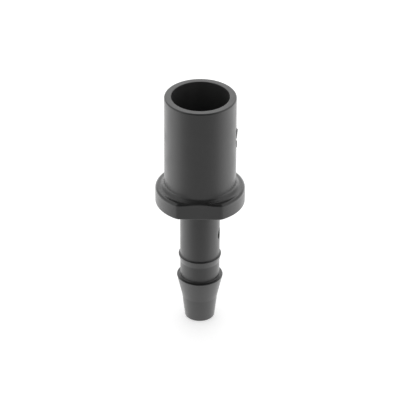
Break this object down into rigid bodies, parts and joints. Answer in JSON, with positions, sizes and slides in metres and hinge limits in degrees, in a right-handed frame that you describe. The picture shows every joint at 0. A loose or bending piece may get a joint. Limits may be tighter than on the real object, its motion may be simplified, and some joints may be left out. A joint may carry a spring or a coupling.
{
  "type": "hose connector",
  "caption": "Straight moulded hose connector: a plain wide tube end on a flange with spanner flats, and a barbed hose tail.",
  "frame": {"origin": "centre of the end face of the barbed tip, on the axis", "axes": "+Z along the axis from the barbed tip to the rim of the wide tube; the two spanner flats face +Y and -Y"},
  "size_m": [0.0188, 0.0164, 0.0536],
  "materials": {
    "moulding": "satin moulded, black"
  },
  "bodies": {
    "root": {"hose_connector": "moulding"}
  },
  "joints": []
}
